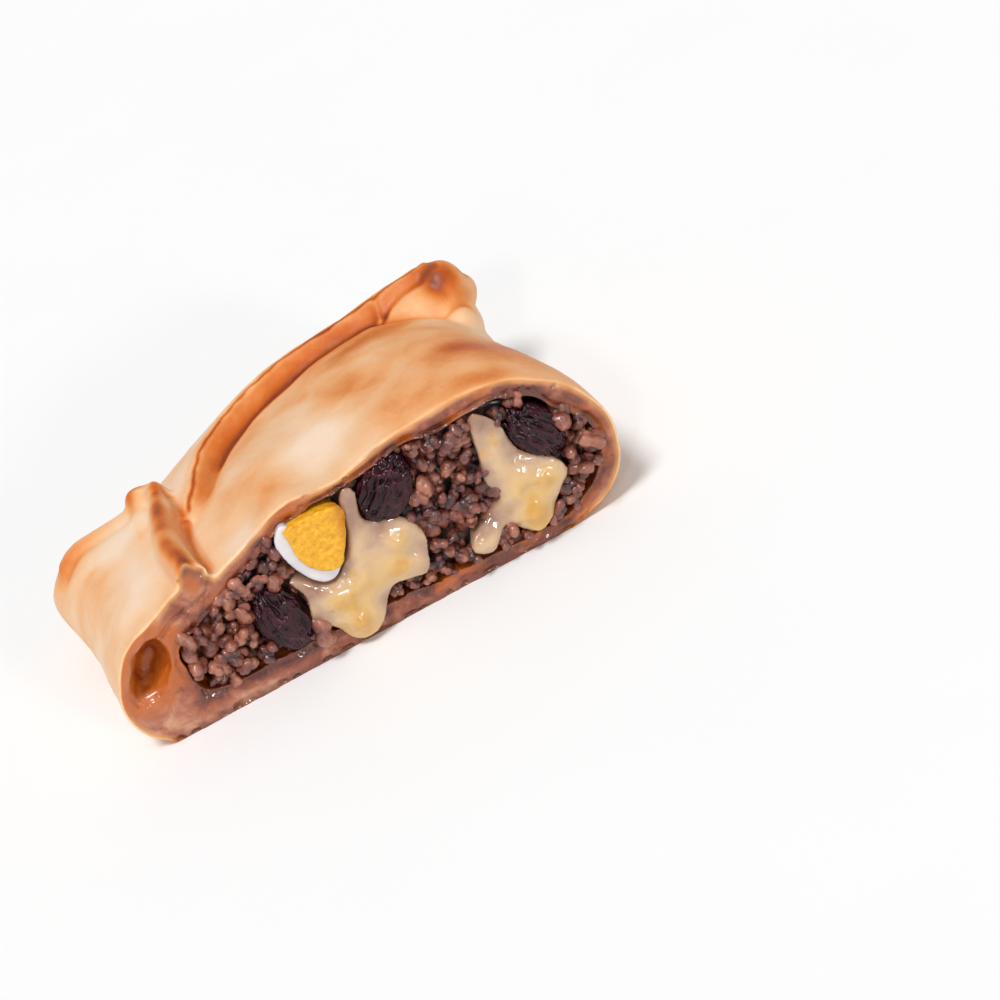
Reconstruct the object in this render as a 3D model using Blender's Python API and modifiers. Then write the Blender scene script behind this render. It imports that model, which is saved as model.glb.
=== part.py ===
"""Half of a baked empanada, cut straight across.

A sheet of dough is folded round a beef filling: a side flap lies over the left of the
parcel, an end flap over its back, and a folded corner stands up where the end flap meets
the smooth right side.  The cut opens the parcel towards -Y and shows the filling with
egg, melted cheese and raisins.  Metres, +Z up, the base on Z = 0.

The shapes are described in millimetres: x along the cut, d behind the cut, z up.
"""
import math

import bmesh
import bpy
from mathutils import Matrix, Vector, noise

MM = 0.001

# Driving sizes of the parcel, in millimetres.
DEPTH = 69.5          # from the cut to the back wall
CROWN = 37.4          # the dough's highest point at the cut
GAP = 0.3             # clearance left between neighbouring solids
CORNER_RADIUS = 11.0  # of the two back corners, seen from above
MIDDLE = (2.4, -33.6)  # moves the parcel so that the origin is under its middle
BEYOND = 80           # past every side of the parcel

# Fineness of the meshes: voxels in millimetres, then points round each section.
DOUGH_VOXEL = 1.3
SOFT_VOXEL = 0.8
DOUGH_TRIANGLES = 3500
DOME_POINTS = 96
FLAP_POINTS = 80
END_FLAP_SECTIONS = 26
HOLLOW_POINTS = 52
POCKET_POINTS = 16
INCLUSION_POINTS = 44

# The dough at the cut under the flap, from the right end of the base over the crown.
DOME_OUTLINE = [
    (31, -1.2), (38, 0), (46.4, 2.6), (51.4, 7.4), (53.4, 14), (53, 20), (50, 26.8),
    (44.6, 32.4), (37, 36.2), (26, CROWN), (14, 36.6), (2, 34.3), (-9, 34.6), (-18, 31.2),
    (-27, 28), (-37, 24.2), (-45, 20), (-49, 13), (-48.5, 6), (-44, -1.2), (-3, -1.2),
]
# The side flap at the cut: its rolled lip first, then round the left side and back inside.
FLAP_OUTLINE = [
    (-26.6, 29.4), (-27.4, 32.0), (-29.8, 32.9), (-32.4, 31.6), (-35.6, 28.9), (-41, 26.2),
    (-46.4, 23.8), (-50.6, 19.2), (-52.8, 14), (-53.2, 9.2), (-51.4, 4.2), (-48, 1),
    (-43, -0.4), (-38, -1.2), (-36, 8), (-35.5, 17), (-31, 25),
]
# The edge of the dough round the filling at the cut.
OPENING = [
    (36, 2.6), (44.6, 6.2), (49, 11), (50, 17), (47.4, 22.3), (43.6, 26), (41, 30.6),
    (33, 33.2), (24, 32.6), (16.5, 34), (11, 33), (5, 31.8), (-3, 31.2), (-12, 30.4),
    (-19, 27), (-26, 23.6), (-33, 20.6), (-38.6, 17.6), (-38.8, 9.6), (-35, 5.8),
    (-22, 5.4), (-6, 4.6), (14, 3.4),
]
OPENING_MIDDLE = (2.0, 17.0)
# The hollow left between the flap and the dough under it.
POCKET = [
    (-40.6, 20.2), (-44.8, 20.0), (-47.6, 16.6), (-48.6, 12.6), (-45.4, 13.2), (-42, 15.6),
]
POCKET_MIDDLE = (-44.6, 16.4)
POCKET_DEPTH = 12.0

# Depths of the sections that the parcel, its flap and the space inside are lofted through.
DOME_DEPTHS = [-3, 0, 6, 12, 18, 24, 30, 36, 42, 48, 53, 57, 60, 63, 65.5, 67.5, 68.9, DEPTH]
FLAP_DEPTHS = [-3, 0, 5, 10, 15, 20, 25, 30, 35, 40, 44, 48, 51, 53.5, 55]
HOLLOW_DEPTHS = [-8, 0, 10, 20, 30, 38, 45, 50, 53]
POCKET_SHARES = [-0.4, 0.0, 0.4, 0.75, 1.0]
INCLUSION_SHARES = [0.0, 0.1, 0.4, 0.7, 1.0]

# The end flap's crest, from under the side flap to the folded corner: x, d and height.
CREST = [
    (-25.5, 24, 28.4), (-21.4, 34, 29.4), (-16.9, 43.6, 30.7), (-8, 51.4, 31.5),
    (4.2, 57.8, 32.2), (19, 60, 33.0), (34, 61.6, 33.8), (41, 62.6, 34.2),
]
# The shoulder of the back wall that the end flap's top slopes down to.
SHOULDER = [
    (-51, 53, 11.5), (-48, 58, 12.5), (-37, 62.5, 14.5), (-23, 64, 18.5), (-7, 65, 25),
    (12, 65.5, 29.4), (30, 65.5, 31), (41, 65.5, 30.5),
]
CREASE_DROP = 4.4     # height of the end flap's front face above the dome
CREASE_LEAN = 3.0     # how far that face leans back

# The folded corner: lumps of dough by centre (x, d, z), radii and turn about Z in degrees.
FOLDED_CORNER = [
    ((36.4, 58.0, 25.4), (12.5, 6.8, 6.6), 22),
    ((41.6, 60.0, 26.6), (5.2, 6.2, 7.4), 0),
    ((40.6, 54.5, 22.5), (5.0, 8.0, 6.5), -8),
]

# Inclusions: their outlines on the cut.
CHEESE_LEFT = [
    (1.2, 31.6), (4.2, 31), (3.4, 24), (9.6, 21.2), (12.4, 16), (11.6, 12), (9.6, 7.2),
    (4.2, 8.6), (1.8, 7.6), (-0.8, 4.4), (-2.6, 2.2), (-5.6, 1.4), (-9, 2.4), (-11, 6.6),
    (-14.4, 9.2), (-13.4, 15), (-14.8, 20.4), (-8.8, 15.6), (-4.6, 16.8), (-0.8, 23),
]
CHEESE_RIGHT = [
    (29, 33.4), (33.6, 29), (35, 21.6), (40.6, 16.6), (42, 12.6), (39.4, 9.8), (37.6, 8),
    (35.6, 5.4), (32.2, 4.4), (29.2, 5.6), (26.6, 8.2), (22.4, 4.4), (19.4, 5.4),
    (18.6, 8), (25, 12.4), (28, 14.6), (26.4, 18.4), (27.4, 24),
]
EGG_YOLK = [
    (-9.6, 31.2), (0.2, 30.4), (-0.4, 25.4), (-2.4, 21.4), (-4.4, 19), (-8, 20.6),
    (-10.2, 24.4), (-10.4, 28),
]
EGG_WHITE = [
    (-13.2, 29.6), (-10.6, 31.6), (-7, 26), (-5, 20), (-3.8, 19), (-6, 16.4), (-8.6, 16.4),
    (-11, 19), (-12.8, 23), (-13.6, 27),
]
# Each inclusion's outline, front and back depth, triangles and rise towards its back.
INCLUSIONS = {
    "egg_yolk": (EGG_YOLK, -2.6, 17, 220, -3),
    "egg_white": (EGG_WHITE, -2.4, 19, 260, -3),
    "cheese_left": (CHEESE_LEFT, -2.4, 16, 520, 0),
    "cheese_right": (CHEESE_RIGHT, -2.2, 14, 440, 0),
}
# Raisins: centre (x, z), half length, half width and the turn of the long axis in degrees.
RAISINS = {
    "raisin_left": ((-18.8, 12.8), 7.6, 4.9, 100),
    "raisin_middle": ((9.2, 26.9), 6.9, 5.3, 48),
    "raisin_right": ((39.4, 22.8), 6.9, 4.5, 118),
}
RAISIN_HALF_THICKNESS = 4.2
RAISIN_CENTRE_DEPTH = 1.6

# The mince's block before it is trimmed, and the lumps on its face: their heights, and how
# many follow each other in a metre.
MINCE_LOW = (-45, 0, -2)
MINCE_HIGH = (55, 60, 38)
MINCE_GRID = 15
MINCE_SET_BACK = 0.2
MINCE_LUMPS = [(1.1, 260), (0.5, 600)]

# Looks of each kind of piece: colour and roughness.
LOOKS = {
    "pastry": ((0.80, 0.50, 0.23), 0.55),
    "egg_yolk": ((0.92, 0.62, 0.05), 0.6),
    "egg_white": ((0.86, 0.86, 0.84), 0.3),
    "cheese": ((0.85, 0.74, 0.45), 0.25),
    "raisin": ((0.06, 0.01, 0.02), 0.3),
    "beef": ((0.28, 0.14, 0.10), 0.5),
}


def ease(low, high, value):
    """0 below low, 1 above high and a smooth step between."""
    t = min(1.0, max(0.0, (value - low) / (high - low)))
    return t * t * (3 - 2 * t)


def spline(points, count, closed):
    """Return count points spread evenly along a Catmull-Rom curve through the points."""
    knots = [Vector(p) for p in points]
    spans = len(knots) if closed else len(knots) - 1
    fine = []
    for span in range(spans):
        picks = []
        for offset in (-1, 0, 1, 2):
            index = span + offset
            index = index % len(knots) if closed else min(max(index, 0), spans)
            picks.append(knots[index])
        a, b, c, d = picks
        for step in range(12):
            t = step / 12
            bend = (2 * a - 5 * b + 4 * c - d) * t * t + (3 * b - a - 3 * c + d) * t ** 3
            fine.append(b + ((c - a) * t + bend) / 2)
    fine.append(fine[0].copy() if closed else knots[-1].copy())
    lengths = [0.0]
    for here, there in zip(fine, fine[1:]):
        lengths.append(lengths[-1] + (there - here).length)
    result = []
    at = 0
    for index in range(count):
        goal = lengths[-1] * index / (count if closed else count - 1)
        while at < len(fine) - 2 and lengths[at + 1] < goal:
            at += 1
        share = (goal - lengths[at]) / max(lengths[at + 1] - lengths[at], 1e-9)
        result.append(fine[at].lerp(fine[at + 1], min(max(share, 0.0), 1.0)))
    return result


def place(x, d, z):
    """Turn millimetres along, behind and above the cut into a point of the part."""
    return Vector(((x + MIDDLE[0]) * MM, (d + MIDDLE[1]) * MM, z * MM))


def add_loft(bm, rings):
    """Skin closed rings of points and cap both ends."""
    rows = [[bm.verts.new(place(*point)) for point in ring] for ring in rings]
    size = len(rows[0])
    for near, far in zip(rows, rows[1:]):
        for i in range(size):
            j = (i + 1) % size
            bm.faces.new((near[i], near[j], far[j], far[i]))
    bm.faces.new(rows[0])
    bm.faces.new(rows[-1])


def add_box(bm, low, high):
    """Add a box with straight sides between two corners."""
    made = bmesh.ops.create_cube(bm, size=1.0)
    middle = [(a + b) / 2 for a, b in zip(low, high)]
    size = [(b - a) * MM for a, b in zip(low, high)]
    matrix = Matrix.Translation(place(*middle)) @ Matrix.Diagonal((*size, 1.0))
    bmesh.ops.transform(bm, matrix=matrix, verts=made["verts"])


def add_ellipsoid(bm, centre, radii, turn):
    """Add an ellipsoid whose first radius is turned about Z by the given degrees."""
    made = bmesh.ops.create_icosphere(bm, subdivisions=4, radius=1.0)
    size = Matrix.Diagonal((radii[0] * MM, radii[1] * MM, radii[2] * MM, 1.0))
    spin = Matrix.Rotation(math.radians(turn), 4, "Z")
    shift = Matrix.Translation(place(*centre))
    bmesh.ops.transform(bm, matrix=shift @ spin @ size, verts=made["verts"])


def make_object(name, bm, collection, material=None):
    """Close a bmesh into an object with its faces pointing out."""
    bm.normal_update()
    bmesh.ops.recalc_face_normals(bm, faces=bm.faces)
    mesh = bpy.data.meshes.new(name)
    bm.to_mesh(mesh)
    bm.free()
    if material:
        mesh.materials.append(material)
    obj = bpy.data.objects.new(name, mesh)
    collection.objects.link(obj)
    if collection is cutters:
        obj.hide_render = True
        obj.display_type = "WIRE"
    return obj


def soften(obj, voxel, rounds, triangles):
    """Merge an object's shells, round its edges and thin its mesh."""
    remesh = obj.modifiers.new("merge", "REMESH")
    remesh.mode = "VOXEL"
    remesh.voxel_size = voxel * MM
    smooth = obj.modifiers.new("round", "SMOOTH")
    smooth.factor = 0.5
    smooth.iterations = rounds
    bake(obj)
    thin = obj.modifiers.new("thin", "DECIMATE")
    thin.ratio = min(1.0, triangles / (2 * len(obj.data.polygons)))
    bake(obj)


def combine(obj, other, operation):
    """Add a Boolean that cuts, joins or keeps what is shared with another object."""
    boolean = obj.modifiers.new(other.name, "BOOLEAN")
    boolean.object = other
    boolean.operation = operation
    boolean.solver = "EXACT"


def bake(obj):
    """Replace an object's mesh by what its modifiers make of it."""
    bpy.context.view_layer.update()
    evaluated = obj.evaluated_get(bpy.context.evaluated_depsgraph_get())
    mesh = bpy.data.meshes.new_from_object(evaluated)
    obj.modifiers.clear()
    old = obj.data
    obj.data = mesh
    bpy.data.meshes.remove(old)


def keep_largest(obj):
    """Bake an object and drop the crumbs that its cuts left loose."""
    bake(obj)
    bm = bmesh.new()
    bm.from_mesh(obj.data)
    bmesh.ops.remove_doubles(bm, verts=bm.verts, dist=0.000001)
    bmesh.ops.triangulate(bm, faces=bm.faces)
    unseen = set(bm.verts)
    islands = []
    while unseen:
        island = set()
        front = [unseen.pop()]
        while front:
            vert = front.pop()
            island.add(vert)
            for edge in vert.link_edges:
                other = edge.other_vert(vert)
                if other in unseen:
                    unseen.remove(other)
                    front.append(other)
        islands.append(island)
    islands.sort(key=len)
    for island in islands[:-1]:
        bmesh.ops.delete(bm, geom=list(island), context="VERTS")
    bm.to_mesh(obj.data)
    bm.free()


def grown(obj, amount):
    """Copy an object as a cutter that is larger all round by the amount in millimetres."""
    bm = bmesh.new()
    bm.from_mesh(obj.data)
    copy = make_object(obj.name + "_room", bm, cutters)
    swell = copy.modifiers.new("swell", "DISPLACE")
    swell.strength = amount * MM
    swell.mid_level = 0.0
    bake(copy)
    return copy


def make_material(name):
    """A plain Principled material for one kind of piece."""
    colour, roughness = LOOKS[name]
    material = bpy.data.materials.new(name)
    material.use_nodes = True
    shader = material.node_tree.nodes["Principled BSDF"]
    shader.inputs["Base Color"].default_value = (*colour, 1.0)
    shader.inputs["Roughness"].default_value = roughness
    shader.inputs["Metallic"].default_value = 0.0
    material.diffuse_color = (*colour, 1.0)
    return material


# The dough ---------------------------------------------------------------------------


def right_share(d):
    """How much of its width at the cut the right side keeps at a depth."""
    return 1 - 0.15 * ease(0, 46, d)


def crown_share(x, d):
    """How much of its height at the cut the dome keeps: it sinks towards the end flap."""
    drop = 0.20 - 0.10 * ease(-6, -24, x)
    reach = 57 - 25 * ease(4, -24, x)
    return max(0.3, 1 - drop * (max(d, 0) / reach) ** 2.2)


def corner_inset(d):
    """How far the rounded back corners draw the sides in at a depth."""
    past = min(max(d - (DEPTH - CORNER_RADIUS), 0.0), CORNER_RADIUS)
    return CORNER_RADIUS - math.sqrt(CORNER_RADIUS ** 2 - past ** 2)


def dome_ring(d):
    """The main parcel's section at a depth."""
    ring = []
    inset = corner_inset(d)
    for x, z in spline(DOME_OUTLINE, DOME_POINTS, closed=True):
        wide = x * right_share(d) if x > 0 else x - 3.2 * ease(-20, -50, x) * (d / 50) ** 2
        wide -= math.copysign(inset * min(abs(x) / 46, 1), x)
        top = z * crown_share(x, d) if z > 12 else z
        round_off = 0.5 * inset * ease(12, 24, z)
        ring.append((wide, d, top - round_off))
    return ring


def flap_ring(d):
    """The side flap's section at a depth; its lip wavers and ends before its outer edge."""
    ring = []
    waver = -1.5 * math.sin(math.pi * min(max(d, 0) / 31, 1)) - 0.5 * ease(30, 38, d)
    rounding = ease(44, 57, d) ** 2
    for x, z in spline(FLAP_OUTLINE, FLAP_POINTS, closed=True):
        lip = ease(-48, -29, x)
        outward = 5.4 * ease(-34, -50, x) * min(max(d, 0) / 48, 1) ** 2
        sunk = (2.0 * ease(0, 44, d) + 6.0 * rounding) * ease(9, 22, z)
        bent = waver * ease(-38, -30, x) - 5 * lip * rounding
        shorter = 9.5 * lip * ease(20, 55, d)
        ring.append((x - outward + bent, d - shorter, z - sunk))
    return ring


def end_flap_rings():
    """Sections across the end flap: front face, crest, sloping top and back wall."""
    crest = spline(CREST, END_FLAP_SECTIONS, closed=False)
    shoulder = spline(SHOULDER, END_FLAP_SECTIONS, closed=False)
    rings = []
    for here, back in zip(crest, shoulder):
        away = Vector((back.x - here.x, back.y - here.y))
        reach = away.length
        away.normalize()
        fall = here.z - back.z
        profile = [
            (-6.0, here.z - 14), (-CREASE_LEAN - 0.6, here.z - CREASE_DROP - 0.8),
            (-CREASE_LEAN + 0.6, here.z - CREASE_DROP + 1.4), (-0.9, here.z - 1.2),
            (0.3, here.z), (1.8, here.z - 0.2), (reach * 0.35 + 1, here.z - 0.25 * fall - 0.6),
            (reach * 0.7 + 0.6, here.z - 0.62 * fall - 0.6), (reach, back.z),
            (reach + 2.0, back.z - 3.4), (reach + 2.2, 4.0), (reach - 6.0, 4.0),
        ]
        rings.append([(here.x + away.x * s, here.y + away.y * s, z) for s, z in profile])
    return rings


def make_dough():
    """The baked shell: parcel, side flap, end flap and folded corner, cut and hollowed."""
    bm = bmesh.new()
    add_loft(bm, [dome_ring(d) for d in DOME_DEPTHS])
    add_loft(bm, [flap_ring(d) for d in FLAP_DEPTHS])
    add_loft(bm, end_flap_rings())
    for centre, radii, turn in FOLDED_CORNER:
        add_ellipsoid(bm, centre, radii, turn)
    dough = make_object("crust", bm, parts, make_material("pastry"))
    soften(dough, DOUGH_VOXEL, 3, DOUGH_TRIANGLES)

    trim = make_box("trim", (-BEYOND, 0, 0), (BEYOND, BEYOND, BEYOND))
    combine(dough, trim, "INTERSECT")
    combine(dough, make_hollow("hollow", 0.0), "DIFFERENCE")
    combine(dough, make_pocket(), "DIFFERENCE")
    keep_largest(dough)
    return dough


def make_box(name, low, high):
    """A box-shaped cutter between two corners."""
    bm = bmesh.new()
    add_box(bm, low, high)
    return make_object(name, bm, cutters)


def hollow_ring(d, inset):
    """The space for the filling at a depth, drawn in by the inset."""
    ring = []
    middle = OPENING_MIDDLE[0]
    closing = ease(34, 54, d)
    edge = spline(OPENING, HOLLOW_POINTS, closed=True)
    for index, point in enumerate(edge):
        along = (edge[(index + 1) % len(edge)] - edge[index - 1]).normalized()
        x, z = point + Vector((-along.y, along.x)) * inset
        wide = x * right_share(d) if x > 0 else x + 0.10 * max(d, 0)
        high = z * crown_share(x, d) if z > 12 else z
        wide = middle + (wide - middle) * (1 - 0.5 * closing ** 2)
        high = 13 + (high - 13) * (1 - 0.75 * closing ** 2)
        ring.append((wide, d - 2 * inset * ease(16, 40, d), high))
    return ring


def make_hollow(name, inset):
    """The space for the filling, open well past the cut."""
    bm = bmesh.new()
    add_loft(bm, [hollow_ring(d, inset) for d in HOLLOW_DEPTHS])
    return make_object(name, bm, cutters)


def make_pocket():
    """The air space between the side flap and the dough under it."""
    bm = bmesh.new()
    outline = spline(POCKET, POCKET_POINTS, closed=True)
    middle = Vector(POCKET_MIDDLE)
    rings = []
    for share in POCKET_SHARES:
        keep = 1 - 0.6 * max(share, 0) ** 2
        ring = [middle + (point - middle) * keep for point in outline]
        rings.append([(p.x, share * POCKET_DEPTH, p.y) for p in ring])
    add_loft(bm, rings)
    return make_object("pocket", bm, cutters)


# The filling -------------------------------------------------------------------------


def make_inclusion(name, material):
    """A soft lump with the outline's shape on the cut, running back into the filling."""
    outline, front, back, triangles, rise = INCLUSIONS[name]
    bm = bmesh.new()
    shape = spline(outline, INCLUSION_POINTS, closed=True)
    middle = sum(shape, Vector((0, 0))) / len(shape)
    rings = []
    for share in INCLUSION_SHARES:
        keep = 1 - 0.35 * share
        d = front + (back - front) * share
        ring = [middle + (point - middle) * keep for point in shape]
        rings.append([(p.x, d, p.y + rise * share) for p in ring])
    add_loft(bm, rings)
    lump = make_object(name, bm, parts, material)
    soften(lump, SOFT_VOXEL, 5, triangles)
    return lump


def make_raisin(name, material):
    """A whole raisin: an ellipsoid with coarse wrinkles."""
    centre, half_length, half_width, turn = RAISINS[name]
    bm = bmesh.new()
    bmesh.ops.create_icosphere(bm, subdivisions=3, radius=1.0)
    for vert in bm.verts:
        wrinkle = noise.noise(vert.co * 2.3 + Vector((centre[0], 0, centre[1])))
        vert.co *= 1 + 0.10 * wrinkle
    size = Matrix.Diagonal((half_length * MM, RAISIN_HALF_THICKNESS * MM, half_width * MM, 1.0))
    spin = Matrix.Rotation(-math.radians(turn), 4, "Y")
    shift = Matrix.Translation(place(centre[0], RAISIN_CENTRE_DEPTH, centre[1]))
    bmesh.ops.transform(bm, matrix=shift @ spin @ size, verts=bm.verts)
    raisin = make_object(name, bm, parts, material)
    thin = raisin.modifiers.new("thin", "DECIMATE")
    thin.ratio = 0.3
    bake(raisin)
    return raisin


def make_mince(material):
    """Minced beef filling the hollow, with a rough face at the cut."""
    bm = bmesh.new()
    add_box(bm, MINCE_LOW, MINCE_HIGH)
    near_cut = place(0, 1, 0).y
    front = [face for face in bm.faces if face.calc_center_median().y < near_cut]
    edges = {edge for face in front for edge in face.edges}
    bmesh.ops.subdivide_edges(bm, edges=list(edges), cuts=MINCE_GRID, use_grid_fill=True)
    for vert in bm.verts:
        if vert.co.y < near_cut:
            lumps = [height * noise.noise(vert.co * rate) for height, rate in MINCE_LUMPS]
            vert.co.y += (MINCE_SET_BACK + sum(lumps)) * MM
    mince = make_object("beef_filling", bm, parts, material)
    combine(mince, make_hollow("mince_room", GAP * 1.5), "INTERSECT")
    bake(mince)
    return mince


def make_filling():
    """Egg, raisins, cheese and mince, each cut clear of the ones before it."""
    room = make_hollow("filling_room", GAP * 1.5)
    ahead = make_box("ahead", (-BEYOND, -BEYOND, GAP), (BEYOND, -GAP, BEYOND))
    combine(room, ahead, "UNION")
    bake(room)

    placed = []

    def settle(piece):
        """Keep a piece inside its room and clear of the pieces placed before it."""
        space = grown(piece, GAP)
        combine(piece, room, "INTERSECT")
        for other in placed:
            combine(piece, other, "DIFFERENCE")
        keep_largest(piece)
        placed.append(space)

    raisin_skin = make_material("raisin")
    for name in RAISINS:
        settle(make_raisin(name, raisin_skin))
    looks = {name: make_material(name) for name in ("egg_yolk", "egg_white", "cheese")}
    for name in INCLUSIONS:
        settle(make_inclusion(name, looks[name.replace("_left", "").replace("_right", "")]))

    mince = make_mince(make_material("beef"))
    for other in placed:
        combine(mince, other, "DIFFERENCE")
    keep_largest(mince)


for old in list(bpy.data.objects):
    bpy.data.objects.remove(old, do_unlink=True)
parts = bpy.data.collections.new("empanada_half")
cutters = bpy.data.collections.new("cutters")
for collection in (parts, cutters):
    bpy.context.scene.collection.children.link(collection)

make_dough()
make_filling()
for piece in parts.objects:
    piece.data.shade_smooth()
    piece.data.set_sharp_from_angle(angle=math.radians(40))
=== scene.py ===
import math
import random

import bmesh
import bpy
import numpy as np
from mathutils import Matrix, Vector, noise
from mathutils.bvhtree import BVHTree


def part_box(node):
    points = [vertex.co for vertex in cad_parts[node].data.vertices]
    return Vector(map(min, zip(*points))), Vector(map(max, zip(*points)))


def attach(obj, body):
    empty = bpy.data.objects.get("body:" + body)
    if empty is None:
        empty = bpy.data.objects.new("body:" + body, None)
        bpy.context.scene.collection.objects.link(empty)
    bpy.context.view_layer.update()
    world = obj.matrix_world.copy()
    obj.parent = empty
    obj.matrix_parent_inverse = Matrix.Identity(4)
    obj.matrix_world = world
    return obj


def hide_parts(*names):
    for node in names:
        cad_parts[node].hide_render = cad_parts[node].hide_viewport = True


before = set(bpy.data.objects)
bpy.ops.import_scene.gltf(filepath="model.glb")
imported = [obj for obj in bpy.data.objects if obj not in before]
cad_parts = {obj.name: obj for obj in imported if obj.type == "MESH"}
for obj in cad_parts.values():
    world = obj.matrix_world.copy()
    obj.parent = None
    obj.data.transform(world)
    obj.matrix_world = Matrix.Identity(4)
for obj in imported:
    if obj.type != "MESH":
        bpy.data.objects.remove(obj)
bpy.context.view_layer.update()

# The dough, shaped.  One sheet of baked dough folded round the filling: the parcel itself,
# the side flap laid over its left, the end flap over its back and the pinched corner where
# the folds meet.  Each fold is a rolled section, and the oven has welded them together.
MM = 0.001
crust_low, crust_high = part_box("crust")
ACROSS = crust_low.x + 58.58 * MM     # the middle of the cut, along X
CUT = crust_low.y                     # the plane of the cut
DEPTH = (crust_high.y - CUT) / MM
CORNER_RADIUS = 11.0
DOUGH_GRAIN = 0.62
DOME_OUTLINE = [
    (31, -1.2), (38, 0), (46.4, 2.6), (51.4, 7.4), (53.4, 14), (53, 20), (50, 26.8),
    (44.6, 32.4), (37, 36.2), (26, 37.4), (14, 36.6), (2, 34.3), (-9, 34.6), (-18, 31.2),
    (-27, 28), (-37, 24.2), (-45, 20), (-49, 13), (-48.5, 6), (-44, -1.2), (-3, -1.2),
]
FLAP_OUTLINE = [
    (-26.6, 29.4), (-27.4, 32.0), (-29.8, 32.9), (-32.4, 31.6), (-35.6, 28.9), (-41, 26.2),
    (-46.4, 23.8), (-50.6, 19.2), (-52.8, 14), (-53.2, 9.2), (-51.4, 4.2), (-48, 1),
    (-43, -0.4), (-38, -1.2), (-36, 8), (-35.5, 17), (-31, 25),
]
CREST = [
    (-25.5, 24, 28.4), (-21.4, 34, 29.4), (-16.9, 43.6, 30.7), (-8, 51.4, 31.5),
    (4.2, 57.8, 32.2), (19, 60, 33.0), (34, 61.6, 33.8), (41, 62.6, 34.2),
]
SHOULDER = [
    (-51, 53, 11.5), (-48, 58, 12.5), (-37, 62.5, 14.5), (-23, 64, 18.5), (-7, 65, 25),
    (12, 65.5, 29.4), (30, 65.5, 31), (41, 65.5, 30.5),
]
CREASE_DROP = 4.4
CREASE_LEAN = 3.0
FOLDED_CORNER = [
    ((36.4, 58.0, 25.4), (12.5, 6.8, 6.6), 22),
    ((41.6, 60.0, 26.6), (5.2, 6.2, 7.4), 0),
    ((40.6, 54.5, 22.5), (5.0, 8.0, 6.5), -8),
]


def ease(low, high, value):
    """0 below low, 1 above high and a smooth step between, for numbers and arrays."""
    t = np.clip((value - low) / (high - low), 0.0, 1.0)
    return t * t * (3 - 2 * t)


def through(points, count, closed):
    """Points spread evenly along a smooth curve through the given ones."""
    knots = np.array(points, float)
    spans = len(knots) if closed else len(knots) - 1
    fine = []
    for span in range(spans):
        picks = [span - 1, span, span + 1, span + 2]
        picks = [i % len(knots) if closed else min(max(i, 0), spans) for i in picks]
        a, b, c, d = knots[picks]
        for t in np.arange(12) / 12:
            bend = (2 * a - 5 * b + 4 * c - d) * t * t + (3 * b - a - 3 * c + d) * t ** 3
            fine.append(b + ((c - a) * t + bend) / 2)
    fine.append(fine[0] if closed else knots[-1])
    fine = np.array(fine)
    run = np.concatenate([[0], np.cumsum(np.linalg.norm(np.diff(fine, axis=0), axis=1))])
    goals = np.linspace(0, run[-1], count, endpoint=not closed)
    return np.stack([np.interp(goals, run, axis) for axis in fine.T], axis=1)


def placed(points):
    """Turn millimetres along, behind and above the cut into places in the frame."""
    return np.asarray(points, float) * MM + np.array([ACROSS, CUT, 0.0])


def rolled(bm, rings):
    """Add a closed roll of dough that passes through the given rings of points."""
    around, along = len(rings[0]), len(rings)
    roll = bmesh.new()
    bmesh.ops.create_cone(roll, cap_ends=True, cap_tris=False, segments=around,
                          radius1=1, radius2=1, depth=along - 1)
    spokes = [edge for edge in roll.edges if abs(edge.verts[0].co.z - edge.verts[1].co.z) > 0.5]
    bmesh.ops.subdivide_edges(roll, edges=spokes, cuts=along - 2)
    for vert in roll.verts:
        turn = math.atan2(vert.co.y, vert.co.x) / math.tau
        level = round(vert.co.z + (along - 1) / 2)
        vert.co = placed(rings[level][round(turn * around) % around])
    mesh = bpy.data.meshes.new("roll")
    roll.to_mesh(mesh)
    roll.free()
    bm.from_mesh(mesh)
    bpy.data.meshes.remove(mesh)


def lump(bm, centre, radii, turn, fineness=4):
    """Add an ellipsoid of dough, turned about Z by the given degrees."""
    made = bmesh.ops.create_icosphere(bm, subdivisions=fineness, radius=1.0)
    matrix = Matrix.Translation(placed(centre)) @ Matrix.Rotation(math.radians(turn), 4, "Z")
    matrix = matrix @ Matrix.Diagonal((*(r * MM for r in radii), 1.0))
    bmesh.ops.transform(bm, matrix=matrix, verts=made["verts"])


def piece_of(name, bm):
    """Make an object of a bmesh, with its faces pointing out."""
    bm.normal_update()
    bmesh.ops.recalc_face_normals(bm, faces=bm.faces)
    mesh = bpy.data.meshes.new(name)
    bm.to_mesh(mesh)
    bm.free()
    obj = bpy.data.objects.new(name, mesh)
    bpy.context.scene.collection.objects.link(obj)
    return obj


def settle(obj):
    """Replace a piece's mesh by what its modifiers make of it."""
    bpy.context.view_layer.update()
    shaped = obj.evaluated_get(bpy.context.evaluated_depsgraph_get())
    mesh = bpy.data.meshes.new_from_object(shaped)
    obj.modifiers.clear()
    old = obj.data
    obj.data = mesh
    bpy.data.meshes.remove(old)
    mesh.name = obj.name


def knead(obj, grain, rounds):
    """Weld a piece's lumps into one skin of the given grain and round its edges."""
    weld = obj.modifiers.new("weld", "REMESH")
    weld.mode = "VOXEL"
    weld.voxel_size = grain * MM
    if rounds:
        rub = obj.modifiers.new("rub", "SMOOTH")
        rub.factor = 0.5
        rub.iterations = rounds
    settle(obj)


def carve(obj, tool, operation="DIFFERENCE"):
    """Cut a piece with a tool, which is thrown away."""
    cut = obj.modifiers.new("cut", "BOOLEAN")
    cut.object = tool
    cut.operation = operation
    cut.solver = "EXACT"
    settle(obj)
    bpy.data.objects.remove(tool)


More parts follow.
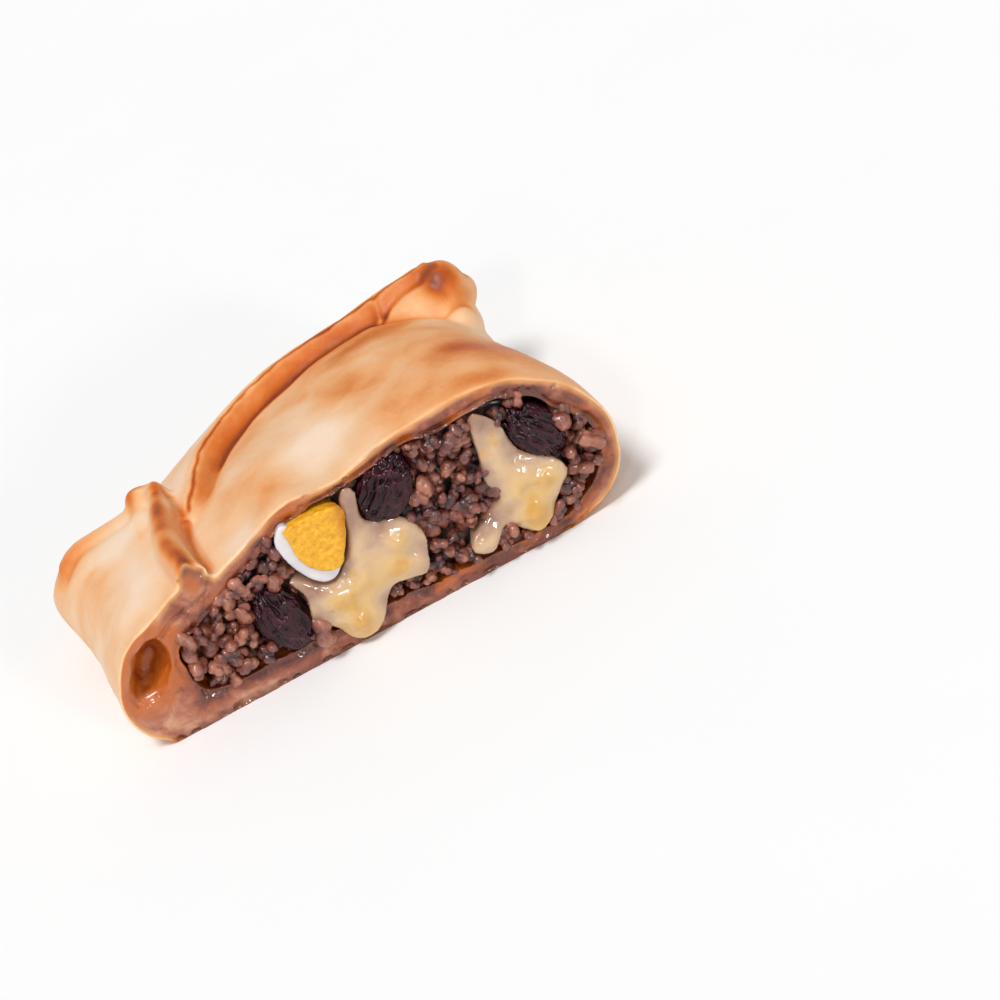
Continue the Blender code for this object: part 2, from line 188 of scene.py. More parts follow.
def thin_out(obj, triangles):
    """Thin a piece's mesh where it is flattest, down to a number of triangles."""
    obj.data.calc_loop_triangles()
    thin = obj.modifiers.new("thin", "DECIMATE")
    thin.ratio = min(1.0, triangles / len(obj.data.loop_triangles))
    settle(obj)


def corners_of(obj):
    """A piece's points in millimetres along, behind and above the cut, and its normals."""
    mesh = obj.data
    points = np.empty(len(mesh.vertices) * 3)
    mesh.vertices.foreach_get("co", points)
    normals = np.empty(len(mesh.vertices) * 3)
    mesh.vertex_normals.foreach_get("vector", normals)
    points = (points.reshape(-1, 3) - np.array([ACROSS, CUT, 0.0])) / MM
    return points, normals.reshape(-1, 3)


def reshape(obj, points):
    """Give a piece new points, in millimetres from the cut."""
    obj.data.vertices.foreach_set("co", placed(points).ravel())
    obj.data.update()


def grain_of(points, size, seed=0.0):
    """Smooth noise from -1 to 1 over points in millimetres, with lumps of a size."""
    shift = Vector((seed * 7.31, seed * 3.17, seed * 5.73))
    return np.array([noise.noise(Vector(p) / size + shift) for p in points])


def paint_on(obj, name, values):
    """Store a number at every point of a piece for its material to read."""
    layer = obj.data.attributes.new(name, "FLOAT", "POINT")
    layer.data.foreach_set("value", np.asarray(values, np.float32))


def right_share(d):
    """How much of its width at the cut the right side keeps at a depth."""
    return 1 - 0.15 * ease(0, 46, d)


def crown_share(x, d):
    """How much of its height the dome keeps: it sinks towards the end flap."""
    drop = 0.20 - 0.10 * ease(-6, -24, x)
    reach = 57 - 25 * ease(4, -24, x)
    return np.maximum(0.3, 1 - drop * (np.maximum(d, 0) / reach) ** 2.2)


def dome_ring(d):
    """The parcel's own section at a depth."""
    past = min(max(d - (DEPTH - CORNER_RADIUS), 0.0), CORNER_RADIUS)
    inset = CORNER_RADIUS - math.sqrt(CORNER_RADIUS ** 2 - past ** 2)
    x, z = through(DOME_OUTLINE, 140, closed=True).T
    wide = np.where(x > 0, x * right_share(d), x - 3.2 * ease(-20, -50, x) * (d / 50) ** 2)
    wide = wide - np.sign(x) * inset * np.minimum(np.abs(x) / 46, 1)
    top = np.where(z > 12, z * crown_share(x, d), z) - 0.5 * inset * ease(12, 24, z)
    return np.stack([wide, np.full_like(x, d), top], axis=1)


def flap_ring(d):
    """The side flap's section at a depth: its lip wavers and ends before its outer edge."""
    behind = max(d, 0)
    waver = -1.5 * math.sin(math.pi * min(behind / 31, 1)) - 0.5 * ease(30, 38, d)
    rounding = ease(44, 57, d) ** 2
    x, z = through(FLAP_OUTLINE, 120, closed=True).T
    lip = ease(-48, -29, x)
    outward = 5.4 * ease(-34, -50, x) * min(behind / 48, 1) ** 2
    sunk = (2.0 * ease(0, 44, d) + 6.0 * rounding) * ease(9, 22, z)
    bent = waver * ease(-38, -30, x) - 5 * lip * rounding
    return np.stack([x - outward + bent, d - 9.5 * lip * ease(20, 55, d), z - sunk], axis=1)


def end_flap_rings():
    """Sections across the end flap: front face, crest, sloping top and back wall."""
    rings = []
    for here, back in zip(through(CREST, 60, False), through(SHOULDER, 60, False)):
        away = (back - here)[:2]
        reach = np.linalg.norm(away)
        away /= reach
        fall = here[2] - back[2]
        foot = here[2] - CREASE_DROP
        profile = through([
            (-6.0, here[2] - 14), (-CREASE_LEAN - 0.6, foot - 0.8), (-CREASE_LEAN + 0.6, foot + 1.4),
            (-0.9, here[2] - 1.2), (0.3, here[2]), (1.8, here[2] - 0.2),
            (reach * 0.35 + 1, here[2] - 0.25 * fall - 0.6),
            (reach * 0.7 + 0.6, here[2] - 0.62 * fall - 0.6), (reach, back[2]),
            (reach + 2.0, back[2] - 3.4), (reach + 2.2, 4.0), (reach - 6.0, 4.0),
        ], 48, closed=True)
        s, z = profile.T
        rings.append(np.stack([here[0] + away[0] * s, here[1] + away[1] * s, z], axis=1))
    return rings


shape = bmesh.new()
rolled(shape, [dome_ring(d) for d in [-3, 0, 4, 8, 12, 16, 20, 24, 28, 32, 36, 40, 44, 48, 52,
                                      55, 57.5, 60, 62, 64, 65.5, 67, 68.2, 69, DEPTH]])
rolled(shape, [flap_ring(d) for d in [-3, 0, 4, 8, 12, 16, 20, 24, 28, 32, 36, 40, 44, 47, 49.5,
                                      51.5, 53.2, 54.4, 55]])
rolled(shape, end_flap_rings())
for centre, radii, turn in FOLDED_CORNER:
    lump(shape, centre, radii, turn)
crust = piece_of("crust_baked", shape)
knead(crust, DOUGH_GRAIN, 4)

# The dough, worked by hand and oven.  Its top swells and dips, a roll runs along the side
# flap's lip with a pressed line beside it, the end flap's edge has cracked along its crest,
# and finger-pressed lines part the folded corner from the dome.
CREST_LINE = through(CREST, 160, closed=False)
LIP_VALLEY = through([(-33.8, 0, 0), (-35.2, 10, 0), (-35.0, 20, 0), (-33.8, 30, 0),
                      (-31.5, 39, 0)], 60, closed=False)
LIP_EDGE = through([(-25.8, 0, 0), (-27.2, 10, 0), (-27.4, 20, 0), (-26.6, 28, 0),
                    (-27.2, 36, 0)], 60, closed=False)
FLAP_REAR = through([(-52.5, 46, 0), (-47, 46.6, 0), (-40, 44.4, 0), (-33, 41, 0),
                     (-29.5, 37.5, 0)], 60, closed=False)
CORNER_LINE = through([(26.5, 56.5, 0), (33, 51.4, 0), (38.5, 50.6, 0), (44, 52.5, 0)],
                      50, closed=False)


def nearest(points, line, flat=False):
    """Distance from each point to a line of points, and the place along it from 0 to 1."""
    goals = line[:, :2] if flat else line
    seats = points[:, :2] if flat else points
    best = np.full(len(points), 1e9)
    share = np.zeros(len(points))
    for index, goal in enumerate(goals):
        gap = np.linalg.norm(seats - goal, axis=1)
        closer = gap < best
        best[closer] = gap[closer]
        share[closer] = index / (len(goals) - 1)
    return best, share


def crest_frame(points):
    """How far each point lies behind the crest line, and below it."""
    _, share = nearest(points, CREST_LINE, flat=True)
    at = share * (len(CREST_LINE) - 1)
    index = np.clip(at.astype(int), 1, len(CREST_LINE) - 2)
    along = CREST_LINE[index + 1] - CREST_LINE[index - 1]
    along = along[:, :2] / np.linalg.norm(along[:, :2], axis=1, keepdims=True)
    offset = points - CREST_LINE[index]
    behind = offset[:, 1] * along[:, 0] - offset[:, 0] * along[:, 1]
    beside = offset[:, 0] * along[:, 0] + offset[:, 1] * along[:, 1]
    return behind, offset[:, 2], share, np.abs(beside)


points, normals = corners_of(crust)
upper = ease(6, 14, points[:, 2])
swell = 0.55 * grain_of(points, 17) + 0.22 * grain_of(points, 7, 1) + 0.07 * grain_of(points, 2.6, 2)
swell += 0.35 * np.exp(-((points[:, 0] - 4) / 7) ** 2 - ((points[:, 1] - 20) / 14) ** 2)
swell -= 0.45 * np.exp(-((points[:, 0] + 2) / 5) ** 2 - ((points[:, 1] - 4) / 12) ** 2)
relief = swell * (0.35 + 0.65 * upper)
on_flap = ease(-27.5, -30, points[:, 0]) * ease(50, 44, points[:, 1]) * ease(16, 20, points[:, 2])
gap, _ = nearest(points, LIP_EDGE, flat=True)
relief -= 1.2 * np.exp(-(gap / 0.9) ** 2) * ease(20, 24, points[:, 2]) * ease(0, 4, points[:, 1])
valley, _ = nearest(points, LIP_VALLEY, flat=True)
relief -= 1.0 * np.exp(-(valley / 1.5) ** 2) * on_flap
relief += 1.2 * np.exp(-((valley - 4.0) / 2.3) ** 2) * on_flap * ease(-37, -33, points[:, 0])
rear, _ = nearest(points, FLAP_REAR, flat=True)
relief += 0.75 * np.exp(-((rear - 0.2) / 1.5) ** 2) * ease(15, 18, points[:, 2])
relief -= 0.55 * np.exp(-((rear - 3.6) / 1.5) ** 2) * on_flap
pressed, _ = nearest(points, CORNER_LINE, flat=True)
relief -= 0.9 * np.exp(-(pressed / 1.1) ** 2) * ease(20, 24, points[:, 2])
behind, above, share, beside = crest_frame(points)
near_crest = ease(-5, -2.5, above) * ease(0.01, 0.03, share) * ease(2, 1, beside)
jag = 0.5 * grain_of(points, 3.0, 5)
relief -= 0.55 * np.exp(-((behind - 0.9 - jag) / 0.42) ** 2) * near_crest
relief += 0.30 * grain_of(points, 4.5, 6) * np.exp(-((behind + 0.6) / 1.6) ** 2) * near_crest
relief -= 0.6 * np.exp(-((points[:, 0] - 27 - 0.35 * (points[:, 1] - 59)) / 0.7) ** 2) \
    * ease(-4.2, -3, behind) * ease(1.5, 0.2, behind) * ease(-6, -4, above)
reshape(crust, points + normals * relief[:, None])
skin = BVHTree.FromObject(crust, bpy.context.evaluated_depsgraph_get())

# The dough, cut and hollowed.  The knife has left a flat face with torn inner edges, small
# pores and a wet, layered crumb; steam has lifted the flap off the dough under it, which
# leaves an air pocket at the left.
OPENING = [
    (36, 2.6), (44.6, 6.2), (49, 11), (50, 17), (47.4, 22.3), (43.6, 26), (41, 30.6),
    (33, 33.2), (24, 32.6), (16.5, 34), (11, 33), (5, 31.8), (-3, 31.2), (-12, 30.4),
    (-19, 27), (-26, 23.6), (-33, 20.6), (-38.6, 17.6), (-38.8, 9.6), (-35, 5.8),
    (-22, 5.4), (-6, 4.6), (14, 3.4),
]
POCKET = [
    (-40.4, 21), (-44.6, 21.4), (-48.2, 17.6), (-49.8, 12.2), (-46.0, 11.6), (-41.8, 15.4),
]
POCKET_DEPTH = 6.0
CUT_GRAIN = 0.43
CRUST_TRIANGLES = 190000


def hollow_ring(d):
    """The space for the filling at a depth, with a torn and wavy edge."""
    x, z = through(OPENING, 200, closed=True).T
    closing = ease(34, 54, d)
    wide = np.where(x > 0, x * right_share(d), x + 0.10 * max(d, 0))
    high = np.where(z > 12, z * crown_share(x, d), z)
    wide = 2 + (wide - 2) * (1 - 0.5 * closing ** 2)
    high = 13 + (high - 13) * (1 - 0.75 * closing ** 2)
    ring = np.stack([wide, np.full_like(x, d), high], axis=1)
    torn = 0.9 * grain_of(ring, 5.0, 11) + 0.5 * grain_of(ring, 2.0, 12)
    middle = np.array([2.0, d, 17.0])
    outward = ring - middle
    outward /= np.linalg.norm(outward, axis=1, keepdims=True)
    return ring + outward * (torn - 0.15)[:, None]


def pocket_ring(share):
    """The air pocket's section, from its mouth to its end."""
    edge = through(POCKET, 60, closed=True)
    middle = np.array([-44.6, 16.4])
    spread = 1.0 + 0.22 * ease(0.3, 0.0, share) - 0.6 * max(share, 0) ** 2
    x, z = (middle + (edge - middle) * spread).T
    ring = np.stack([x, np.full_like(x, share * POCKET_DEPTH), z], axis=1)
    ring[:, 0] += 0.9 * grain_of(ring, 3.4, 13)
    ring[:, 2] += 0.7 * grain_of(ring, 2.6, 14)
    return ring


FLAP_SPLIT = through([(-25.8, 0, 30), (-28.4, 0, 26.4), (-32.4, 0, 24.8), (-36.4, 0, 23.8),
                      (-40.6, 0, 21.6)], 60, closed=False)


def outline_gap(points, outline):
    """Distance on the cut from each point to an outline: below 0 inside it."""
    seats = points[:, [0, 2]]
    best = np.full(len(seats), 1e9)
    inside = np.zeros(len(seats), bool)
    for a, b in zip(outline, np.roll(outline, -1, axis=0)):
        edge = b - a
        t = np.clip(((seats - a) @ edge) / (edge @ edge), 0, 1)
        best = np.minimum(best, np.linalg.norm(seats - a - t[:, None] * edge, axis=1))
        crosses = (a[1] > seats[:, 1]) != (b[1] > seats[:, 1])
        rise = edge[1] if abs(edge[1]) > 1e-9 else 1e-9
        inside ^= crosses & (seats[:, 0] < a[0] + edge[0] * (seats[:, 1] - a[1]) / rise)
    return np.where(inside, -best, best)


block = bmesh.new()
made = bmesh.ops.create_cube(block, size=1.0)
matrix = Matrix.Translation(placed((0, 45, 30))) @ Matrix.Diagonal((0.16, 0.09, 0.06, 1.0))
bmesh.ops.transform(block, matrix=matrix, verts=made["verts"])
carve(crust, piece_of("block", block), "INTERSECT")
space = bmesh.new()
rolled(space, [hollow_ring(d) for d in [-4, 0, 1.5, 3, 5, 8, 12, 18, 25, 32, 38, 44, 49, 53]])
carve(crust, piece_of("space", space))
pocket = bmesh.new()
rolled(pocket, [pocket_ring(share) for share in (-0.3, 0.0, 0.2, 0.4, 0.6, 0.8, 1.0)])
carve(crust, piece_of("pocket", pocket))
knead(crust, CUT_GRAIN, 1)

points, normals = corners_of(crust)
facing = ease(-0.35, -0.8, normals[:, 1]) * ease(1.2, 0.5, points[:, 1])
rim = outline_gap(points, through(OPENING, 200, closed=True))
slump = 0.75 * ease(2.2, 0.0, rim) * (0.6 + 0.4 * grain_of(points, 4, 21))
layers = 0.10 * np.sin(rim * 3.0 + 2.2 * grain_of(points, 7, 22))
pores = ease(0.34, 0.6, grain_of(points, 1.5, 23)) * 0.7 * ease(-0.15, 0.35, grain_of(points, 8, 24))
rough = 0.35 * grain_of(points, 4.0, 25) + 0.08 * grain_of(points, 1.3, 26)
away = np.zeros_like(points)
split, _ = nearest(points, FLAP_SPLIT)
split = split + 0.25 * grain_of(points, 2.0, 27)
parted = 0.8 * np.exp(-(split / 0.5) ** 2)
crumbling = 0.9 * ease(2.4, 0.0, points[:, 2]) * ease(-0.3, 0.5, grain_of(points, 2.2, 28))
away[:, 1] = facing * (slump + layers + pores + rough + 0.15 + crumbling)
away[:, 1] += parted * ease(-0.35, -0.8, normals[:, 1]) * ease(2.5, 1.5, points[:, 1])
reshape(crust, points + away)
thin_out(crust, CRUST_TRIANGLES)

# The dough's colours.  The oven has browned what stands proud: the roll, the crest, the corner and
# scattered patches; the rest stays cream.  Painted shade darkens the crease at the foot of the end
# flap, the grooves beside the side flap's lip, inside its rear ridge and along the pressed corner line,
# and the split under the flap; the end flap's front face is partly browned and partly painted shade.
# Juice has stained the inner walls and the edge of the cut orange, and between them the crumb is a
# translucent pinkish beige.
BAKED_SPOTS = [
    (35, 22, 5.5, 5.0, 0.34), (40, 14, 5, 7, 0.14), (12, 29, 6, 5, 0.26), (8, 37, 5, 5, 0.16),
    (-11, 6, 5, 6, 0.28), (-19, 13, 4, 7, 0.12), (36, 3, 6, 3, 0.22), (26, 10, 10, 9, 0.14),
    (17, 24, 8, 7, 0.10), (45, 20, 4, 10, 0.14), (-49, 34, 5, 12, 0.18), (-46, 12, 4, 6, 0.12),
    (-52, 44, 5, 7, 0.24), (0, 44, 9, 6, 0.18), (20, 48, 10, 5, 0.18),
]
PALE_SPOTS = [
    (3, 17, 7, 8, 0.26), (-19, 4, 5, 6, 0.16), (-41, 20, 5, 14, 0.22), (-16, 30, 5, 8, 0.16),
]


class Tint:
    """A value in a material: Python's arithmetic on it adds Math nodes."""

    def __init__(self, tree, socket):
        self.tree = tree
        self.socket = socket

    def node(self, kind, settings=None, inputs=None, output=0):
        """Add a node, settings first, and return one of its outputs."""
        made = self.tree.nodes.new(kind)
        for key, value in (settings or {}).items():
            if key == "stops":
                ramp = made.color_ramp
                while len(ramp.elements) < len(value):
                    ramp.elements.new(0.5)
                for element, (place, colour) in zip(ramp.elements, value):
                    element.position = place
                    element.color = (*colour, 1.0)
            else:
                setattr(made, key, value)
        for key, value in (inputs or {}).items():
            if isinstance(value, Tint):
                self.tree.links.new(value.socket, made.inputs[key])
            else:
                made.inputs[key].default_value = value
        return Tint(self.tree, made.outputs[output])

    def math(self, operation, *values):
        return self.node("ShaderNodeMath", {"operation": operation}, dict(enumerate(values)))

    def __add__(self, other):
        return self.math("ADD", self, other)

    def __radd__(self, other):
        return self.math("ADD", other, self)

    def __sub__(self, other):
        return self.math("SUBTRACT", self, other)

    def __rsub__(self, other):
        return self.math("SUBTRACT", other, self)

    def __mul__(self, other):
        return self.math("MULTIPLY", self, other)

    def __rmul__(self, other):
        return self.math("MULTIPLY", other, self)

    def __truediv__(self, other):
        return self.math("DIVIDE", self, other)

    def __pow__(self, other):
        return self.math("POWER", self, other)

    def step(self, low, high):
        """0 below low, 1 above high and smooth between; low may be the larger."""
        span = {1: low, 2: high} if low < high else {1: high, 2: low}
        made = self.node("ShaderNodeMapRange", {"interpolation_type": "SMOOTHSTEP"},
                         {0: self, **span})
        return made if low < high else 1 - made

    def noise(self, size, detail=3.0, roughness=0.55, distortion=0.0):
        """Noise from 0 to 1 over this place, with lumps of a size in millimetres."""
        return self.node("ShaderNodeTexNoise", None, {
            "Vector": self, "Scale": 1 / (size * MM), "Detail": detail,
            "Roughness": roughness, "Distortion": distortion})

    def ramp(self, *stops):
        return self.node("ShaderNodeValToRGB", {"stops": stops}, {0: self})

    def mix(self, share, other):
        """This colour, with a share of another."""
        return self.node("ShaderNodeMix", {"data_type": "RGBA"},
                         {0: share, 6: self, 7: other}, 2)

    def bump(self, distance, strength=1.0, over=None):
        inputs = {"Height": self, "Distance": distance * MM, "Strength": strength}
        if over is not None:
            inputs["Normal"] = over
        return self.node("ShaderNodeBump", None, inputs)


def finish_of(name, roughness, **constants):
    """A new Principled material: its tree's starting value, its shader and where it lies."""
    material = bpy.data.materials.new(name)
    material.use_nodes = True
    tree = material.node_tree
    shader = tree.nodes["Principled BSDF"]
    shader.inputs["Roughness"].default_value = roughness
    for socket, value in constants.items():
        shader.inputs[socket.replace("_", " ")].default_value = value
    start = Tint(tree, None)
    where = start.node("ShaderNodeTexCoord", None, None, 3)
    return material, shader, where


def wire(shader, **links):
    """Feed a shader's sockets."""
    for socket, value in links.items():
        value.tree.links.new(value.socket, shader.inputs[socket.replace("_", " ")])


def dress(obj, material, slot, *nodes):
    """Give a piece its finish and its place in the frame."""
    obj.data.materials.clear()
    obj.data.materials.append(material)
    obj.data.shade_smooth()
    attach(obj, "root")
    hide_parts(*nodes)


points, normals = corners_of(crust)
x, d, z = points.T
under = np.empty(len(points))
for index, place in enumerate(placed(points)):
    under[index] = skin.find_nearest(Vector(place))[3] / MM
inner = ease(0.5, 1.1, under)
bake = 0.24 + 0.18 * grain_of(points, 16, 31) + 0.10 * grain_of(points, 6, 32)
bake += 0.12 * ease(5, 30, x) * ease(20, 30, z)
for cx, cd, rx, rd, strength in BAKED_SPOTS:
    bake += strength * np.exp(-((x - cx) / rx) ** 2 - ((d - cd) / rd) ** 2) * ease(12, 20, z)
for cx, cd, rx, rd, strength in PALE_SPOTS:
    bake -= strength * np.exp(-((x - cx) / rx) ** 2 - ((d - cd) / rd) ** 2)
behind, above, share, beside = crest_frame(points)
# The end flap's front face: partly real browning and egg wash, partly painted shade, coloured darker
# down towards the crease at its foot.
front_face = ease(-4.9, -3.0, behind) * ease(1.2, -0.8, behind) * ease(-4.5, -3.5, above)
front_face *= ease(0.03, 0.10, share) * ease(2, 1, beside)
bake = bake * (1 - 0.8 * front_face) + (0.54 + 0.26 * ease(-1.2, -5.2, above)) * front_face
crack = np.exp(-((behind - 0.9 - 0.5 * grain_of(points, 3.0, 5)) / 0.5) ** 2)
crack *= ease(-5, -2.5, above) * ease(0.02, 0.05, share) * ease(2, 1, beside)
bake += 0.50 * crack
# Painted shade: a darker line in the groove between the side flap's lip and the dome.
gap, _ = nearest(points, LIP_EDGE, flat=True)
bake += 0.40 * np.exp(-(gap / 0.8) ** 2) * ease(20, 24, z) * ease(1, 5, d)
# Painted shade: a darker line in the crease where the end flap's front face meets the dome.
crease = np.exp(-((behind + 3.6) / 0.8) ** 2) * ease(-7.5, -5, above) * ease(-2.5, -3.6, above)
bake += 0.30 * crease * ease(0.03, 0.10, share)
outer_end = ease(2.0, 4.5, behind) * ease(0.0, 0.05, share) * ease(0.75, 0.45, share)
bake -= 0.16 * outer_end * ease(-14, -8, above)
corner = np.exp(-((x - 40) / 5) ** 2 - ((d - 57) / 5) ** 2) * ease(22, 27, z)
bake += 0.34 * corner + 0.30 * np.exp(-((x - 40.3) / 2.2) ** 2 - ((d - 56) / 2.4) ** 2) * corner
bake += 0.34 * np.exp(-((x - 44.2) / 1.8) ** 2 - ((d - 56.5) / 3) ** 2) * corner
valley, _ = nearest(points, LIP_VALLEY, flat=True)
on_flap = ease(-27.0, -29.5, x) * ease(50, 44, d) * ease(16, 20, z)
roll_top = np.exp(-((valley - 4.2) / 2.0) ** 2) * ease(-37, -33.5, x) * on_flap
bake += 0.52 * roll_top * (0.85 + 0.5 * grain_of(points, 5, 33))
bake += 0.30 * np.exp(-((d - 0.6) / 1.6) ** 2) * on_flap * ease(-33, -30, x)
rear, _ = nearest(points, FLAP_REAR, flat=True)
bake += 0.22 * np.exp(-((rear - 1.2) / 1.6) ** 2) * ease(13, 17, z)
# Painted shade: a darker line in the groove inside the side flap's rear ridge.
bake += 0.14 * np.exp(-((rear - 3.6) / 0.9) ** 2) * on_flap
# Painted shade: darker along the finger-pressed groove between the folded corner and the dome.
pressed, _ = nearest(points, CORNER_LINE, flat=True)
bake += 0.20 * np.exp(-(pressed / 0.9) ** 2) * ease(20, 24, z)
bake += 0.35 * ease(2.6, 0.2, z) + 0.16 * ease(9, 3, z)
wall = ease(0.9, 2.6, d) * ease(1.2, 2.2, under)
in_pocket = ease(2.4, 0.2, outline_gap(points, through(POCKET, 60, closed=True))) * ease(0.8, 2.5, d)
paint_on(crust, "bake", bake)
paint_on(crust, "under", under)
paint_on(crust, "wall", np.maximum(wall, in_pocket))
stain = ease(7, 2, outline_gap(points, through(POCKET, 60, closed=True))) * 0.8
stain += 0.9 * np.exp(-((x + 30.5) / 2.2) ** 2 - ((z - 28.5) / 4.0) ** 2)
stain += 0.8 * np.exp(-((x - 33) / 3.0) ** 2 - ((z - 35.6) / 1.6) ** 2)
stain += 0.7 * np.exp(-((x + 8) / 6) ** 2 - ((z - 33.6) / 1.4) ** 2)
stain += 0.6 * np.exp(-((x - 51) / 1.8) ** 2 - ((z - 18) / 7) ** 2)
stain += 0.5 * np.exp(-((x - 20) / 14) ** 2 - ((z - 3.2) / 1.6) ** 2)
rim = outline_gap(points, through(OPENING, 200, closed=True))
stain += 0.55 * ease(0.0, 0.35, grain_of(points, 6, 34)) * ease(3.4, 1.0, rim)
paint_on(crust, "stain", stain)
# Painted shade: a dark brown line along the split where the flap parts from the dough under it.
split, _ = nearest(points, FLAP_SPLIT)
paint_on(crust, "split", np.exp(-((split + 0.25 * grain_of(points, 2.0, 27)) / 0.45) ** 2))
paint_on(crust, "rim", rim)

pastry, shader, where = finish_of("pastry_finish", 0.5, Subsurface_Weight=0.12,
                                  Subsurface_Scale=0.004, IOR=1.45)
shader.inputs["Subsurface Radius"].default_value = (1.0, 0.45, 0.2)
bake = where.node("ShaderNodeAttribute", {"attribute_name": "bake"}, None, 2)
under = where.node("ShaderNodeAttribute", {"attribute_name": "under"}, None, 2)
wall = where.node("ShaderNodeAttribute", {"attribute_name": "wall"}, None, 2)
stain = where.node("ShaderNodeAttribute", {"attribute_name": "stain"}, None, 2)
split = where.node("ShaderNodeAttribute", {"attribute_name": "split"}, None, 2)
rim = where.node("ShaderNodeAttribute", {"attribute_name": "rim"}, None, 2)
patchy = where.noise(9, 4, 0.6, 0.6)
fine = where.noise(1.3, 4, 0.65)
specks = where.noise(0.8, 2, 0.5).step(0.70, 0.78) * where.noise(12, 2).step(0.5, 0.65)
level = bake + (patchy - 0.5) * 0.34 + (fine - 0.5) * 0.09 + specks * 0.12
skin_colour = level.ramp(
    (0.0, (0.88, 0.66, 0.49)), (0.22, (0.85, 0.53, 0.30)), (0.42, (0.81, 0.37, 0.14)),
    (0.54, (0.72, 0.25, 0.060)), (0.68, (0.60, 0.13, 0.008)), (0.84, (0.34, 0.06, 0.005)),
    (1.0, (0.18, 0.03, 0.004)))
streaks = where.noise(5.0, 4, 0.55, 0.5)
inward = (streaks - 0.5) * 1.8 + 0.62 - rim.step(4.5, 0.6) * 0.42
crumb = inward.ramp(
    (0.12, (0.13, 0.022, 0.007)), (0.36, (0.29, 0.062, 0.020)), (0.58, (0.42, 0.135, 0.062)),
    (0.84, (0.58, 0.29, 0.17)))
edge_glow = under.step(1.7, 0.3)
crumb = crumb.mix(edge_glow * 0.75, (0.74, 0.36, 0.11, 1))
# Painted shade: the split line darkened to deep brown.
crumb = crumb.mix(split * 0.85, (0.22, 0.075, 0.015, 1))
stained = (stain + (patchy - 0.5) * 0.9).step(0.25, 0.85)
crumb = crumb.mix(stained * 0.85, (0.50, 0.11, 0.006, 1))
scorched = where.node("ShaderNodeSeparateXYZ", None, {0: where}, 2) + (streaks - 0.5) * 0.002
crumb = crumb.mix(scorched.step(0.0022, 0.0004) * 0.8, (0.15, 0.025, 0.010, 1))
crumb = crumb.mix(wall, streaks.ramp((0.3, (0.22, 0.025, 0.002)), (0.7, (0.58, 0.15, 0.012))))
colour = skin_colour.mix(under.step(0.28, 0.62), crumb)
wet = under.step(0.4, 1.2)
skin_rough = 0.56 - level.step(0.3, 0.8) * 0.12 + (fine - 0.5) * 0.2
gloss = skin_rough * (1 - wet) + wet * (0.30 + (streaks - 0.5) * 0.25)
ripples = fine * 0.05 + where.noise(0.45, 3, 0.6) * 0.02 + where.noise(0.9, 3, 0.6, 0.4) * wet * 0.16
wire(shader, Base_Color=colour, Roughness=gloss, Coat_Weight=wet * (0.8 - wall * 0.6),
     Normal=ripples.bump(1.0))
shader.inputs["Coat Roughness"].default_value = 0.10
dress(crust, pastry, "pastry", "crust")

# Minced beef.  Cooked grains of meat, each a knot of three to seven soft lobes, lie loose over a denser
# core that runs on to the back of the parcel.  The core is coloured near-black as painted shade between
# the grains, and the grains are painted paler on their lobes and darker in their hollows as light and
# shade.
CHEESE_LEFT = [
    (1.2, 31.6), (4.2, 31), (3.4, 24), (9.6, 21.2), (12.4, 16), (11.6, 12), (9.6, 7.2),
    (4.2, 8.6), (1.8, 7.6), (-0.8, 4.4), (-2.6, 2.2), (-5.6, 1.4), (-9, 2.4), (-11, 6.6),
    (-14.4, 9.2), (-13.4, 15), (-14.8, 20.4), (-8.8, 15.6), (-4.6, 16.8), (-0.8, 23),
]
CHEESE_RIGHT = [
    (29, 33.4), (33.6, 29), (35, 21.6), (40.6, 16.6), (42, 12.6), (39.4, 9.8), (37.6, 8),
    (35.6, 5.4), (32.2, 4.4), (29.2, 5.6), (26.6, 8.2), (22.4, 4.4), (19.4, 5.4),
    (18.6, 8), (25, 12.4), (28, 14.6), (26.4, 18.4), (27.4, 24),
]
EGG_YOLK = [
    (-9.6, 31.2), (0.2, 30.4), (-0.4, 25.4), (-2.4, 21.4), (-4.4, 19), (-8, 20.6),
    (-10.2, 24.4), (-10.4, 28),
]
EGG_WHITE = [
    (-13.2, 29.6), (-10.6, 31.6), (-7, 26), (-5, 20), (-3.8, 19), (-6, 16.4), (-8.6, 16.4),
    (-11, 19), (-12.8, 23), (-13.6, 27),
]
RAISINS = {
    "raisin_left": ((-18.8, 12.8), 7.6, 4.9, 100, 1),
    "raisin_middle": ((9.2, 26.9), 6.9, 5.3, 48, 2),
    "raisin_right": ((39.4, 22.8), 6.9, 4.5, 118, 3),
}
GRAINS_FRONT = 150
GRAINS_BEHIND = 110
chance = random.Random(7)


def grain(bm, centre, size, fineness):
    """One grain of cooked mince: lobes of meat shrunk together into a knot."""
    made = bmesh.ops.create_icosphere(bm, subdivisions=fineness, radius=1.0)
    lobes = []
    for _ in range(chance.randint(5, 9)):
        lean = Vector((chance.gauss(0, 1), chance.gauss(0, 1), chance.gauss(0, 1))).normalized()
        lobes.append((lean * chance.uniform(0.38, 0.70), chance.uniform(0.32, 0.56)))
    stretch = Vector((chance.uniform(0.8, 1.35), chance.uniform(0.8, 1.1), chance.uniform(0.7, 1.3)))
    shift = Vector((chance.random(), chance.random(), chance.random())) * 50
    turn = Matrix.Rotation(chance.uniform(0, math.tau), 3, lean)
    for vert in made["verts"]:
        ray = vert.co.normalized()
        reach = 0.36
        for seat, radius in lobes:
            along = ray.dot(seat)
            gap = along * along - seat.length_squared + radius * radius
            if gap > 0:
                reach = max(reach, along + math.sqrt(gap))
        reach *= 1 + 0.12 * noise.noise(ray * 3 + shift) + 0.07 * noise.noise(ray * 7 + shift)
        place = turn @ Vector(a * b for a, b in zip(ray * reach, stretch))
        vert.co = Vector(placed(np.array(centre) + np.array(place) * size))
    return made["verts"]


